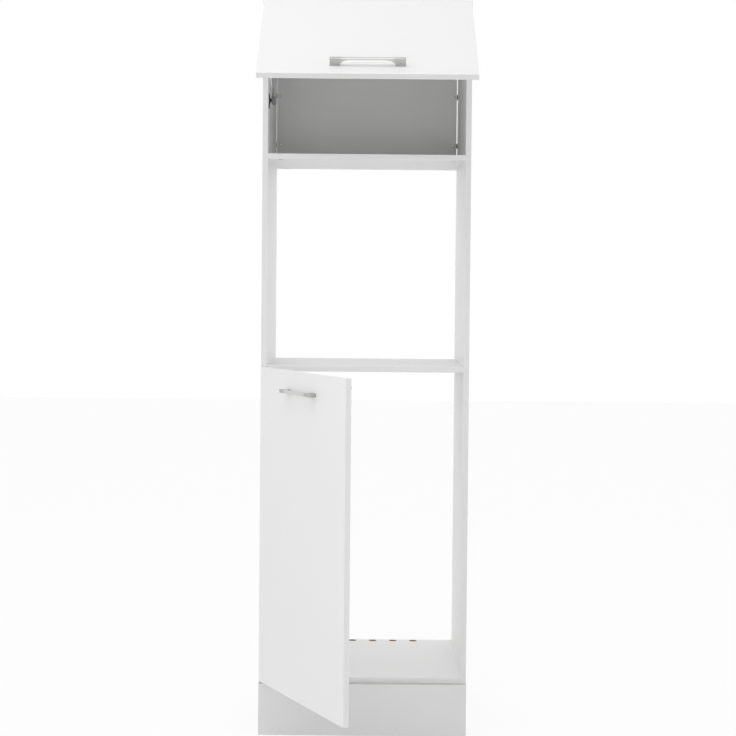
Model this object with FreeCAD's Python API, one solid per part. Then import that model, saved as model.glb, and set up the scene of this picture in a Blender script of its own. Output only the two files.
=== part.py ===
import FreeCAD, Part
import math
import os

# Tall kitchen housing cabinet for a built-in fridge below and a microwave or compact oven
# above it, with a lift-up flap over a closed compartment at the top.
# Millimetres. X runs to the right and Z up. Y runs into the cabinet: Y = 0 is the middle of
# the fronts' thickness, on which the plinth board stands too. The origin lies on the floor.

# ---------------------------------------------------------------- driving dimensions
CABINET_WIDTH = 600.0
BOARD = 16.0
FRONT_BOARD = 16.0
FRONT_GAP = 2.5
CARCASS_DEPTH = 550.0
SHELF_DEPTH = 500.0
PLINTH_HEIGHT = 150.0
FRIDGE_NICHE = 885.0
OVEN_NICHE = 594.0
TOP_COMPARTMENT = 425.0
EDGE_ROUND = 0.8

SIDE_REVEAL = 3.0
DOOR_BOTTOM_GAP = 5.0
DOOR_OVERLAP = 12.0
FLAP_TOP_REVEAL = 6.0
DOOR_OPEN = 65.0
FLAP_OPEN = 56.0

CAM_RADIUS = 7.5
CAM_DEPTH = 12.5
CAM_FROM_SIDE = 34.0
CAM_FROM_EDGE = 37.0

VENT_RADIUS = 12.5
VENT_SPACING = 64.0
VENT_COUNT = 6
VENT_FROM_REAR = 17.0

BACK_THICKNESS = 8.0
BACK_FRONT_DEPTH = 484.0
BACK_GAP_LEFT = 1.4
BACK_GAP_RIGHT = 3.6
BACK_FIXING_RISE = (60.0, 212.5, 365.0)

EDGE_TO_PIVOT = 6.5
FACE_TO_PIVOT = 8.5
CUP_RADIUS = 17.5
CUP_DEPTH = 12.0
CUP_FROM_EDGE = 3.0
CUP_WALL = 0.7
CUP_EAR_SPACING = 48.0
HINGE_PIN_RADIUS = 1.25
HINGE_CLEARANCE = 0.05
PLATE_WING_SPACING = 32.0
DOOR_HINGE_INSET = 100.0
FLAP_HINGE_INSET = 97.0

HANDLE_LENGTH = 204.0
HANDLE_HEIGHT = 22.0
HANDLE_WIDTH = 10.0
HANDLE_BAR = 4.5
HANDLE_FOOT = 27.0
HANDLE_FLAT = 86.0
DOOR_HANDLE_FROM_EDGE = 56.0
FLAP_HANDLE_FROM_EDGE = 49.0

STAY_X = -270.5
STAY_PIVOT_DEPTH = 52.0
STAY_PIVOT_Z = 1834.0
STAY_PIN_STANDOFF = 14.0
STAY_ROD_RADIUS = 3.0
STAY_BODY_LENGTH = 32.0
STAY_BODY_SIZE = 13.4

LEG_X = 235.0
LEG_FRONT_Y = 68.0
LEG_REAR_Y = 505.0
LEG_RADIUS = 15.0
LEG_BORE_RADIUS = 11.0

# ---------------------------------------------------------------- derived levels and planes
HALF_WIDTH = CABINET_WIDTH / 2
INSIDE_X = HALF_WIDTH - BOARD
FRONT_BACK_Y = FRONT_BOARD / 2
FRONT_FACE_Y = -FRONT_BOARD / 2
CARCASS_Y = FRONT_BACK_Y + FRONT_GAP
REAR_Y = CARCASS_Y + CARCASS_DEPTH
SHELF_REAR_Y = CARCASS_Y + SHELF_DEPTH
BOTTOM_Z = PLINTH_HEIGHT
NICHE_Z = BOTTOM_Z + BOARD
MIDDLE_Z = NICHE_Z + FRIDGE_NICHE
UPPER_Z = MIDDLE_Z + BOARD + OVEN_NICHE
COMPARTMENT_Z = UPPER_Z + BOARD
TOP_Z = COMPARTMENT_Z + TOP_COMPARTMENT
CABINET_HEIGHT = TOP_Z + BOARD

FRONT_HALF_WIDTH = HALF_WIDTH - SIDE_REVEAL
DOOR_Z0 = BOTTOM_Z + DOOR_BOTTOM_GAP
DOOR_Z1 = MIDDLE_Z + DOOR_OVERLAP
FLAP_Z0 = COMPARTMENT_Z - DOOR_OVERLAP
FLAP_Z1 = CABINET_HEIGHT - FLAP_TOP_REVEAL

V = FreeCAD.Vector
X_AXIS = V(1, 0, 0)
Y_AXIS = V(0, 1, 0)
Z_AXIS = V(0, 0, 1)
PIVOT_Y = FRONT_BACK_Y - FACE_TO_PIVOT
DOOR_PIVOT = V(-FRONT_HALF_WIDTH + EDGE_TO_PIVOT, PIVOT_Y, 0)
FLAP_PIVOT = V(0, PIVOT_Y, FLAP_Z1 - EDGE_TO_PIVOT)


# ---------------------------------------------------------------- small shared operations
def box(x0, x1, y0, y1, z0, z1):
    return Part.makeBox(x1 - x0, y1 - y0, z1 - z0, V(x0, y0, z0))


def rod(start, direction, radius, length):
    return Part.makeCylinder(radius, length, start, direction)


def prism(points, direction):
    """Straight extrusion of the flat outline through the points."""
    return Part.Face(Part.makePolygon(points + points[:1])).extrude(direction)


def faceted(sides, rings):
    """Solid with flat sides through regular polygons of (radius, height) about Z."""
    turns = [2 * math.pi * i / sides for i in range(sides)]
    corners = [[V(r * math.cos(a), r * math.sin(a), z) for a in turns] for r, z in rings]
    loops = [corners[0], corners[-1]]
    for low, high in zip(corners, corners[1:]):
        for i in range(sides):
            loops.append([low[i - 1], low[i], high[i], high[i - 1]])
    faces = [Part.Face(Part.makePolygon(loop + loop[:1])) for loop in loops]
    return Part.makeSolid(Part.makeShell(faces))


def across_flats(sides, inner_radius):
    """Corner radius of a regular polygon whose flats lie at the inner radius."""
    return inner_radius / math.cos(math.pi / sides)


def rounded(solid, radius, wanted):
    """Rounds the edges whose middle point passes the test."""
    return solid.makeFillet(radius, [e for e in solid.Edges if wanted(e.CenterOfMass)])


def bevelled(solid, size, wanted):
    """Chamfers the edges whose middle point passes the test."""
    return solid.makeChamfer(size, [e for e in solid.Edges if wanted(e.CenterOfMass)])


def same(a, b):
    return abs(a - b) < 0.01


def cut_all(solid, cutters):
    return solid.cut(Part.makeCompound(cutters))


def moved(shape, offset):
    copy = shape.copy()
    copy.translate(offset)
    return copy


def placed(shapes, places):
    """A copy of every shape at every place."""
    result = []
    for place in places:
        for shape in shapes:
            copy = shape.copy()
            copy.Placement = place.multiply(shape.Placement)
            result.append(copy)
    return result


def open_door(shape):
    """Carries a piece from the closed door to the door's rest position."""
    copy = shape.copy()
    copy.rotate(DOOR_PIVOT, Z_AXIS, -DOOR_OPEN)
    return copy


def open_flap(shape):
    """Carries a piece from the closed flap to the flap's rest position."""
    copy = shape.copy()
    copy.rotate(FLAP_PIVOT, X_AXIS, -FLAP_OPEN)
    return copy


def save(name, solids):
    shape = solids[0] if len(solids) == 1 else Part.makeCompound(solids)
    shape.exportStep("parts/" + name + ".step")


# ---------------------------------------------------------------- carcass boards
def cross_board(z0, rear_y):
    """Horizontal board between the sides, with its front edge band rounded."""
    board = box(-INSIDE_X, INSIDE_X, CARCASS_Y, rear_y, z0, z0 + BOARD)
    return rounded(board, EDGE_ROUND, lambda c: same(c.y, CARCASS_Y) and same(c.x, 0))


def shelf_cams(radius, depth):
    """Discs at the four cams that draw the upper shelf to the sides, let in from below."""
    discs = []
    for x in (-INSIDE_X + CAM_FROM_SIDE, INSIDE_X - CAM_FROM_SIDE):
        for y in (CARCASS_Y + CAM_FROM_EDGE, SHELF_REAR_Y - CAM_FROM_EDGE):
            discs.append(rod(V(x, y, UPPER_Z), Z_AXIS, radius, depth))
    return discs


def side_panel(side):
    x0, x1 = sorted((side * INSIDE_X, side * HALF_WIDTH))
    middle_z = (BOTTOM_Z + CABINET_HEIGHT) / 2
    panel = box(x0, x1, CARCASS_Y, REAR_Y, BOTTOM_Z, CABINET_HEIGHT)
    return rounded(panel, EDGE_ROUND, lambda c: same(c.y, CARCASS_Y) and same(c.z, middle_z))


def vent_holes():
    """Air holes near the rear edge, under the shaft behind the shelves."""
    first = -VENT_SPACING * (VENT_COUNT - 1) / 2
    y = REAR_Y - VENT_FROM_REAR
    at = [V(first + i * VENT_SPACING, y, BOTTOM_Z) for i in range(VENT_COUNT)]
    return [rod(point, Z_AXIS, VENT_RADIUS, BOARD) for point in at]


# ---------------------------------------------------------------- back of the compartment
# The thin panel stops short of the sides and is held by six steel angles behind it.
BACK_Y = CARCASS_Y + BACK_FRONT_DEPTH
BACK_REAR_Y = BACK_Y + BACK_THICKNESS
BRACKET_WIDTH = 14.0
BRACKET_LEG = 20.0
BRACKET_METAL = 1.5


def back_panel():
    x0 = -INSIDE_X + BACK_GAP_LEFT
    x1 = INSIDE_X - BACK_GAP_RIGHT
    return box(x0, x1, BACK_Y, BACK_REAR_Y, COMPARTMENT_Z + 1.0, TOP_Z - 1.0)


def bracket(side, z):
    """Steel angle: one leg on the side panel, the other on the back panel's rear face."""
    corner = V(side * INSIDE_X, BACK_REAR_Y, z - BRACKET_WIDTH / 2)
    profile = (
        (0, 0),
        (BRACKET_LEG, 0),
        (BRACKET_LEG, BRACKET_METAL),
        (BRACKET_METAL, BRACKET_METAL),
        (BRACKET_METAL, BRACKET_LEG),
        (0, BRACKET_LEG),
    )
    outline = [corner + V(-side * x, y, 0) for x, y in profile]
    return prism(outline, V(0, 0, BRACKET_WIDTH))


def brackets():
    levels = [COMPARTMENT_Z + rise for rise in BACK_FIXING_RISE]
    return [bracket(side, z) for side in (-1, 1) for z in levels]


# ---------------------------------------------------------------- plinth board and legs
SOCKET_PLATE = 5.0
SOCKET_HALF = 30.0
SOCKET_FOOT = BOTTOM_Z - 32.0
COLLAR_RADIUS = 20.5
FOOT_RADIUS = 29.0
FOOT_GRIP_RADIUS = 17.5
FOOT_TOP = 28.0
LEG_FOOT = FOOT_TOP + 2.0
STEM_LENGTH = 45.0
LEG_CLEARANCE = 0.05
CLIP_LOW = 70.0
CLIP_HIGH = 92.0

LEG_PLACES = {
    "front_left": V(-LEG_X, LEG_FRONT_Y, 0),
    "front_right": V(LEG_X, LEG_FRONT_Y, 0),
    "rear_left": V(-LEG_X, LEG_REAR_Y, 0),
    "rear_right": V(LEG_X, LEG_REAR_Y, 0),
}


def leg_socket():
    """Square flange under the carcass, its eight-sided collar gripping the leg on its flats."""
    half = SOCKET_HALF
    flange = box(-half, half, -half, half, BOTTOM_Z - SOCKET_PLATE, BOTTOM_Z)
    flange = bevelled(flange, 7.0, lambda c: same(abs(c.x), half) and same(abs(c.y), half))
    collar = faceted(8, [(COLLAR_RADIUS, SOCKET_FOOT), (COLLAR_RADIUS + 3, BOTTOM_Z - SOCKET_PLATE)])
    bore_radius = across_flats(8, LEG_RADIUS + LEG_CLEARANCE)
    bore = faceted(8, [(bore_radius, SOCKET_FOOT), (bore_radius, BOTTOM_Z - SOCKET_PLATE)])
    return flange.fuse(collar).cut(bore)


def leg_tube():
    """Round tube whose twelve-sided bore lets the foot's stem turn on its flats."""
    top = BOTTOM_Z - SOCKET_PLATE
    tube = rod(V(0, 0, LEG_FOOT), Z_AXIS, LEG_RADIUS, top - LEG_FOOT)
    bore_radius = across_flats(12, LEG_BORE_RADIUS)
    return tube.cut(faceted(12, [(bore_radius, LEG_FOOT), (bore_radius, top)]))


def foot():
    """Levelling foot, twelve-sided for a hand to turn it, with its stem up the leg."""
    rings = (
        (FOOT_RADIUS - 1, 0),
        (FOOT_RADIUS, 1),
        (FOOT_RADIUS, 4),
        (FOOT_GRIP_RADIUS, 12),
        (FOOT_GRIP_RADIUS, FOOT_TOP),
    )
    stem_radius = LEG_BORE_RADIUS - LEG_CLEARANCE
    stem = faceted(12, [(stem_radius, FOOT_TOP), (stem_radius, FOOT_TOP + STEM_LENGTH)])
    return faceted(12, rings).fuse(stem)


def plinth_clip(at):
    """Plastic clip that grips a front leg and holds the plinth board by its back face."""
    height = CLIP_HIGH - CLIP_LOW
    pad = box(at.x - 20, at.x + 20, FRONT_BACK_Y, FRONT_BACK_Y + 3, CLIP_LOW, CLIP_HIGH)
    tongue_rear = at.y - LEG_RADIUS
    tongue = box(at.x - 8, at.x + 8, FRONT_BACK_Y + 3, tongue_rear, CLIP_LOW + 4, CLIP_HIGH - 4)
    ring = rod(V(at.x, at.y, CLIP_LOW + 4), Z_AXIS, LEG_RADIUS + 3, height - 8)
    mouth = box(at.x - 11, at.x + 11, at.y + 2, at.y + 30, CLIP_LOW, CLIP_HIGH)
    bore = rod(V(at.x, at.y, CLIP_LOW), Z_AXIS, LEG_RADIUS, height)
    return cut_all(pad.fuse([tongue, ring]), [mouth, bore])


def plinth_board():
    """The plinth stands on the floor in line with the fronts, 1 mm under the sides."""
    top = PLINTH_HEIGHT - 1.0
    board = box(-HALF_WIDTH, HALF_WIDTH, FRONT_FACE_Y, FRONT_BACK_Y, 0, top)
    return rounded(board, EDGE_ROUND, lambda c: same(c.y, FRONT_FACE_Y) and same(c.z, top))


# ---------------------------------------------------------------- concealed hinge
# One spring-steel cup hinge, drawn closed in its own axes: x runs across the front away from
# its hinged edge, y into the cabinet, z along the pin. The pin crosses the cup near the
# edge of the front, and the cranked arm reaches it from the mounting plate.
CUP_X = -EDGE_TO_PIVOT + CUP_FROM_EDGE + CUP_RADIUS
EAR_X = CUP_X + 6.0
EAR_HALF = 7.0
NECK_X0 = 11.2
NECK_X1 = 13.6
NECK_HALF = 4.5
BARREL_RADIUS = 2.0
CARCASS_IN_HINGE = CARCASS_Y - PIVOT_Y
PLATE_TOP = 8.0
PLATE_Y = CARCASS_IN_HINGE + 37.0
ARM_BASE = 8.2
ARM_TOP = 19.0
ARM_HALF = 8.5
ARM_WALL = 1.4
ARM_START = CARCASS_IN_HINGE + 5.0
ARM_END = CARCASS_IN_HINGE + 68.0


def cup_bore():
    """What is milled out of a front for one cup."""
    return rod(V(CUP_X, FACE_TO_PIVOT, 0), V(0, -1, 0), CUP_RADIUS, CUP_DEPTH)


def hinge_cup():
    """Pressed cup with two flange ears for its screws and the hinge pin riveted across it."""
    floor_y = FACE_TO_PIVOT - CUP_DEPTH
    reach = CUP_EAR_SPACING / 2 + 6.0
    outer = rod(V(CUP_X, floor_y, 0), Y_AXIS, CUP_RADIUS, CUP_DEPTH)
    inner = rod(V(CUP_X, floor_y + CUP_WALL, 0), Y_AXIS, CUP_RADIUS - CUP_WALL, CUP_DEPTH + 2)
    ears = box(
        EAR_X - EAR_HALF, EAR_X + EAR_HALF, FACE_TO_PIVOT, FACE_TO_PIVOT + 1, -reach, reach
    )
    ears = bevelled(ears, 4.5, lambda c: same(abs(c.x - EAR_X), EAR_HALF) and same(abs(c.z), reach))
    half_pin = math.sqrt(CUP_RADIUS**2 - CUP_X**2) - 0.2
    pin = rod(V(0, 0, -half_pin), Z_AXIS, HINGE_PIN_RADIUS, 2 * half_pin)
    wall = outer.fuse(ears).cut(inner)
    return wall.fuse(pin.common(outer))


def hinge_arm():
    """Barrel on the pin, flat root, neck cranked out of the cup, channel over the plate."""
    half = (NECK_X1 - NECK_X0) / 2
    barrel = rod(V(0, 0, -NECK_HALF), Z_AXIS, BARREL_RADIUS, 2 * NECK_HALF)
    crank = (
        (0, -half),
        (NECK_X1, -half),
        (NECK_X1, ARM_START + 4),
        (NECK_X0, ARM_START + 4),
        (NECK_X0, half),
        (0, half),
    )
    neck = prism([V(x, y, -NECK_HALF) for x, y in crank], V(0, 0, 2 * NECK_HALF))
    neck = rounded(neck, 2.0, lambda c: same(c.x, NECK_X1) and same(c.y, -half))
    side = (
        (ARM_BASE, ARM_START + 3),
        (NECK_X0, ARM_START),
        (NECK_X1, ARM_START),
        (ARM_TOP, ARM_START + 12),
        (ARM_TOP, ARM_END - 8),
        (ARM_TOP - 4, ARM_END),
        (ARM_BASE, ARM_END),
    )
    channel = prism([V(x, y, -ARM_HALF) for x, y in side], V(0, 0, 2 * ARM_HALF))
    inside = ARM_HALF - ARM_WALL
    hollow = box(
        ARM_BASE - 1, ARM_TOP - ARM_WALL, ARM_START + 10, ARM_END - 4, -inside, inside
    )
    bore_radius = HINGE_PIN_RADIUS + HINGE_CLEARANCE
    pin_bore = rod(V(0, 0, -NECK_HALF), Z_AXIS, bore_radius, 2 * NECK_HALF)
    return cut_all(barrel.fuse([neck, channel]), [hollow, pin_bore])


def mounting_plate(seat):
    """Winged plate from the carcass board's face, at x = seat, with its rail in the arm."""
    reach = PLATE_WING_SPACING / 2 + 8.0
    wings = box(seat, PLATE_TOP, PLATE_Y - 8, PLATE_Y + 8, -reach, reach)
    wings = bevelled(wings, 5.0, lambda c: same(abs(c.y - PLATE_Y), 8) and same(abs(c.z), reach))
    rail = box(seat, PLATE_TOP + 3.2, ARM_START + 13, ARM_END - 6, -5.5, 5.5)
    return wings.fuse(rail)


DOOR_SEAT = -INSIDE_X - DOOR_PIVOT.x
FLAP_SEAT = FLAP_PIVOT.z - TOP_Z
DOOR_HINGES = [
    FreeCAD.Placement(DOOR_PIVOT + V(0, 0, z), FreeCAD.Rotation())
    for z in (DOOR_Z0 + DOOR_HINGE_INSET, DOOR_Z1 - DOOR_HINGE_INSET)
]
FLAP_HINGES = [
    FreeCAD.Placement(FLAP_PIVOT + V(x, 0, 0), FreeCAD.Rotation(Y_AXIS, 90))
    for x in (-FRONT_HALF_WIDTH + FLAP_HINGE_INSET, FRONT_HALF_WIDTH - FLAP_HINGE_INSET)
]


# ---------------------------------------------------------------- fronts and their handles
def front_panel(z0, z1, hinges):
    """Door or flap board: both faces' rims rounded, cups milled in near the hinged edge."""
    panel = box(-FRONT_HALF_WIDTH, FRONT_HALF_WIDTH, FRONT_FACE_Y, FRONT_BACK_Y, z0, z1)
    panel = rounded(panel, 1.0, lambda c: same(abs(c.y), FRONT_BOARD / 2))
    return cut_all(panel, placed([cup_bore()], hinges))


def handle(z):
    """Flat bridge handle, a bar that spreads through elliptical arches into two solid feet."""
    end = HANDLE_LENGTH / 2
    foot_inner = end - HANDLE_FOOT
    flat = HANDLE_FLAT / 2
    rise = HANDLE_HEIGHT - HANDLE_BAR
    low = z - HANDLE_WIDTH / 2

    def at(x, height):
        return V(x, FRONT_FACE_Y - height, low)

    arches = [Part.Ellipse(at(x, 0), foot_inner - flat, rise) for x in (-flat, flat)]
    quarter = math.pi / 2
    outline = [
        Part.makeLine(at(-foot_inner, 0), at(-end, 0)),
        Part.makeLine(at(-end, 0), at(-end, HANDLE_HEIGHT)),
        Part.makeLine(at(-end, HANDLE_HEIGHT), at(end, HANDLE_HEIGHT)),
        Part.makeLine(at(end, HANDLE_HEIGHT), at(end, 0)),
        Part.makeLine(at(end, 0), at(foot_inner, 0)),
        Part.ArcOfEllipse(arches[1], 3 * quarter, 4 * quarter).toShape(),
        Part.makeLine(at(flat, rise), at(-flat, rise)),
        Part.ArcOfEllipse(arches[0], 2 * quarter, 3 * quarter).toShape(),
    ]
    wire = Part.Wire(Part.__sortEdges__(outline))
    bar = Part.Face(wire).extrude(V(0, 0, HANDLE_WIDTH))
    outer_y = FRONT_FACE_Y - HANDLE_HEIGHT
    return rounded(bar, 1.0, lambda c: same(c.y, outer_y))


# ---------------------------------------------------------------- flap stay
# A brake stay on the left side only: a rod, pinned to the flap, slides through a housing
# that turns on a three-legged base on the side panel. The housing's pivot and the flap's
# pin are equally far from the flap's hinge axis, so the rod always turns by exactly half
# the flap's angle, and the housing with it.
STAY_PIVOT = V(STAY_X, CARCASS_Y + STAY_PIVOT_DEPTH, STAY_PIVOT_Z)
STAY_PIN_RADIUS = 2.5
STAY_STUD_RADIUS = 3.0
BASE_THICKNESS = 2.5
BASE_LEG = 34.0
BASE_LEG_ANGLES = (0.0, 160.0, 222.0)
EYE_HALF = 3.1
EYE_RADIUS = 6.0
EAR_METAL = 1.8
STOP_LENGTH = 5.0
STOP_RADIUS = 5.2
STOP_GAP = 0.5

pivot_from_axis = V(0, STAY_PIVOT.y - FLAP_PIVOT.y, STAY_PIVOT.z - FLAP_PIVOT.z)
pin_inset = FACE_TO_PIVOT + STAY_PIN_STANDOFF
pin_drop = math.sqrt(pivot_from_axis.Length**2 - pin_inset**2)
PIN_CLOSED = V(STAY_X, FLAP_PIVOT.y + pin_inset, FLAP_PIVOT.z - pin_drop)
PIN_REST = open_flap(Part.Vertex(PIN_CLOSED)).Point
ROD_SPAN = (PIN_REST - STAY_PIVOT).Length
ROD_SLOPE = math.degrees(math.atan2(PIN_REST.z - STAY_PIVOT.z, STAY_PIVOT.y - PIN_REST.y))


def tilt_stay(shape):
    """Turns a piece drawn with the rod level to the rod's slope at rest."""
    copy = shape.copy()
    copy.rotate(STAY_PIVOT, X_AXIS, -ROD_SLOPE)
    return copy


def stay_base():
    """Three tapering legs with screw lugs round the hub, and the stud for the housing."""
    hub = V(-INSIDE_X, STAY_PIVOT.y, STAY_PIVOT.z)
    housing_face = STAY_X - STAY_BODY_SIZE / 2
    solids = [
        rod(hub, X_AXIS, STAY_STUD_RADIUS + 1.8, housing_face - 0.3 + INSIDE_X),
        rod(hub, X_AXIS, STAY_STUD_RADIUS, housing_face + 2.0 + INSIDE_X),
    ]
    for angle in BASE_LEG_ANGLES:
        turn = math.radians(angle)
        along = V(0, math.cos(turn), math.sin(turn))
        across = X_AXIS.cross(along)
        half_widths = ((0, 8), (BASE_LEG, 5), (BASE_LEG + 4, 2.5))
        near = [hub + along * reach + across * half for reach, half in half_widths]
        far = [hub + along * reach - across * half for reach, half in reversed(half_widths)]
        solids.append(prism(near + far, X_AXIS * BASE_THICKNESS))
    return solids[0].fuse(solids[1:]).removeSplitter()


def stay_housing():
    """Ribbed brake housing with the rod's bore and a blind bearing for the base's stud."""
    half = STAY_BODY_SIZE / 2
    length = STAY_BODY_LENGTH
    p = STAY_PIVOT
    body = box(p.x - half, p.x + half, p.y - length / 2, p.y + length / 2, p.z - half, p.z + half)
    body = bevelled(body, 1.6, lambda c: same(c.y, p.y))
    floor = half - 0.9
    cutters = []
    for groove in range(4):
        y = p.y - length / 2 + 5.2 + groove * 6.4
        ring = box(p.x - 9, p.x + 9, y, y + 2.4, p.z - 9, p.z + 9)
        core = box(p.x - floor, p.x + floor, y, y + 2.4, p.z - floor, p.z + floor)
        cutters.append(ring.cut(core))
    cutters.append(rod(V(p.x, p.y - length, p.z), Y_AXIS, STAY_ROD_RADIUS + 0.1, 2 * length))
    cutters.append(rod(V(p.x - half - 1, p.y, p.z), X_AXIS, STAY_STUD_RADIUS + 0.05, 3.2))
    return tilt_stay(cut_all(body, cutters))


def stay_rod():
    """Round rod from the eye at the flap's pin to the stop behind the housing."""
    pin = STAY_PIVOT - V(0, ROD_SPAN, 0)
    tail = STAY_BODY_LENGTH / 2 + STOP_GAP + STOP_LENGTH
    eye = rod(V(STAY_X - EYE_HALF, pin.y, pin.z), X_AXIS, EYE_RADIUS, 2 * EYE_HALF)
    shaft = rod(pin, Y_AXIS, STAY_ROD_RADIUS, ROD_SPAN + tail)
    bore = rod(V(STAY_X - 5, pin.y, pin.z), X_AXIS, STAY_PIN_RADIUS + 0.05, 10)
    return tilt_stay(eye.fuse(shaft).cut(bore))


def stay_stop():
    """Rubber stop on the rod's end, which meets the housing when the flap is fully open."""
    start = STAY_PIVOT + V(0, STAY_BODY_LENGTH / 2 + STOP_GAP, 0)
    ring = faceted(16, [(STOP_RADIUS, 0), (STOP_RADIUS, STOP_LENGTH)])
    ring.rotate(V(0, 0, 0), X_AXIS, -90)
    bore = rod(start, Y_AXIS, STAY_ROD_RADIUS, STOP_LENGTH)
    return tilt_stay(moved(ring, start).cut(bore))


def flap_bracket():
    """Steel fork on the flap's inner face, with two ears either side of the rod's eye."""
    p = PIN_CLOSED
    fork = box(p.x - 8, p.x + 8, FRONT_BACK_Y, FRONT_BACK_Y + 2, p.z - 18, p.z + 18)
    foot_y = FRONT_BACK_Y + 1 - p.y
    ear = ((foot_y, -6), (0, -6), (4.2, -4.2), (6, 0), (4.2, 4.2), (0, 6), (foot_y, 6))
    for x in (p.x - EYE_HALF - 0.4 - EAR_METAL, p.x + EYE_HALF + 0.4):
        outline = [V(x, p.y + y, p.z + z) for y, z in ear]
        fork = fork.fuse(prism(outline, V(EAR_METAL, 0, 0)))
    return fork.cut(rod(V(p.x - 9, p.y, p.z), X_AXIS, STAY_PIN_RADIUS, 18))


def flap_bracket_pin():
    return rod(PIN_CLOSED - V(6.2, 0, 0), X_AXIS, STAY_PIN_RADIUS, 12.4)


# ---------------------------------------------------------------- assembly
os.makedirs("parts", exist_ok=True)

save("side_panel_left", [side_panel(-1)])
save("side_panel_right", [side_panel(1)])
save("bottom_panel", [cut_all(cross_board(BOTTOM_Z, REAR_Y), vent_holes())])
save("middle_fixed_shelf", [cross_board(MIDDLE_Z, SHELF_REAR_Y)])
upper_shelf = cross_board(UPPER_Z, SHELF_REAR_Y)
save("upper_fixed_shelf", [cut_all(upper_shelf, shelf_cams(CAM_RADIUS, CAM_DEPTH))])
save("shelf_cams", shelf_cams(CAM_RADIUS - 0.1, CAM_DEPTH - 0.2))
save("top_panel", [cross_board(TOP_Z, SHELF_REAR_Y)])

save("upper_back_panel", [back_panel()])
save("back_panel_brackets", brackets())

save("plinth_board", [plinth_board()])
save("leg_sockets", [moved(leg_socket(), at) for at in LEG_PLACES.values()])
save("leg_tubes", [moved(leg_tube(), at) for at in LEG_PLACES.values()])
front_legs = [at for at in LEG_PLACES.values() if at.y == LEG_FRONT_Y]
save("plinth_clips", [plinth_clip(at) for at in front_legs])
for corner, at in LEG_PLACES.items():
    save("foot_" + corner, [moved(foot(), at)])

save("door_panel", [open_door(front_panel(DOOR_Z0, DOOR_Z1, DOOR_HINGES))])
save("door_handle", [open_door(handle(DOOR_Z1 - DOOR_HANDLE_FROM_EDGE))])
save("door_hinge_cups", [open_door(s) for s in placed([hinge_cup()], DOOR_HINGES)])
save("door_hinge_arms", placed([hinge_arm()], DOOR_HINGES))
save("door_hinge_plates", placed([mounting_plate(DOOR_SEAT)], DOOR_HINGES))

save("flap_panel", [open_flap(front_panel(FLAP_Z0, FLAP_Z1, FLAP_HINGES))])
save("flap_handle", [open_flap(handle(FLAP_Z0 + FLAP_HANDLE_FROM_EDGE))])
save("flap_hinge_cups", [open_flap(s) for s in placed([hinge_cup()], FLAP_HINGES)])
save("flap_hinge_arms", placed([hinge_arm()], FLAP_HINGES))
save("flap_hinge_plates", placed([mounting_plate(FLAP_SEAT)], FLAP_HINGES))

save("stay_base", [stay_base()])
save("stay_housing", [stay_housing()])
save("stay_rod", [stay_rod()])
save("stay_rod_stop", [stay_stop()])
save("stay_flap_bracket", [open_flap(flap_bracket())])
save("stay_flap_pin", [open_flap(flap_bracket_pin())])
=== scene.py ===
import math

import bmesh
import bpy
import numpy as np
from mathutils import Matrix, Vector


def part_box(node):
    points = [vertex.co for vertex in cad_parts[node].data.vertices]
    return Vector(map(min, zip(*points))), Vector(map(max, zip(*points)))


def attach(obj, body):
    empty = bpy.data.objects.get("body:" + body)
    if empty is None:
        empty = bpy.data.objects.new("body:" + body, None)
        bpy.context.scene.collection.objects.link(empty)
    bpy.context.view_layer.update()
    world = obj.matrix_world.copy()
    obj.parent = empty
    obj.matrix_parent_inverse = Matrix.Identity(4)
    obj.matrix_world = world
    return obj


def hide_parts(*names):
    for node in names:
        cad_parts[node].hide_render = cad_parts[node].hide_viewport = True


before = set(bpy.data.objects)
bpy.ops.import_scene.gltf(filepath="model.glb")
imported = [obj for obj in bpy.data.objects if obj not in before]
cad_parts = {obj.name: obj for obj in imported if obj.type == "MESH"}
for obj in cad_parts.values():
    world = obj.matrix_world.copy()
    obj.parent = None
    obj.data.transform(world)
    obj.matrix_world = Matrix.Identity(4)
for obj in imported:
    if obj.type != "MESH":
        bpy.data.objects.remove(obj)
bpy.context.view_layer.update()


# ------------------------------------------------------------------ levelling legs
# Four legs of black polypropylene: a socket screwed under the carcass, and a plain tube below
# it. Two clips on the front legs hold the plinth board. All are injection moulded, with a
# fine spark-eroded surface.
PLASTIC_BLACK = (0.028, 0.028, 0.030, 1.0)


class Socket:
    """One shader socket in an expression; each operator adds its own Math node."""

    def __init__(self, shading, socket):
        self.shading = shading
        self.socket = socket

    def maths(self, operation, *values):
        inputs = dict(enumerate(values))
        return self.shading.node("ShaderNodeMath", {"operation": operation}, inputs)

    def __add__(self, other):
        return self.maths("ADD", self, other)

    def __sub__(self, other):
        return self.maths("SUBTRACT", self, other)

    def __rsub__(self, other):
        return self.maths("SUBTRACT", other, self)

    def __mul__(self, other):
        return self.maths("MULTIPLY", self, other)

    def __lt__(self, other):
        return self.maths("LESS_THAN", self, other)

    def __gt__(self, other):
        return self.maths("GREATER_THAN", self, other)

    def __abs__(self):
        return self.maths("ABSOLUTE", self)

    __radd__ = __add__
    __rmul__ = __mul__


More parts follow.
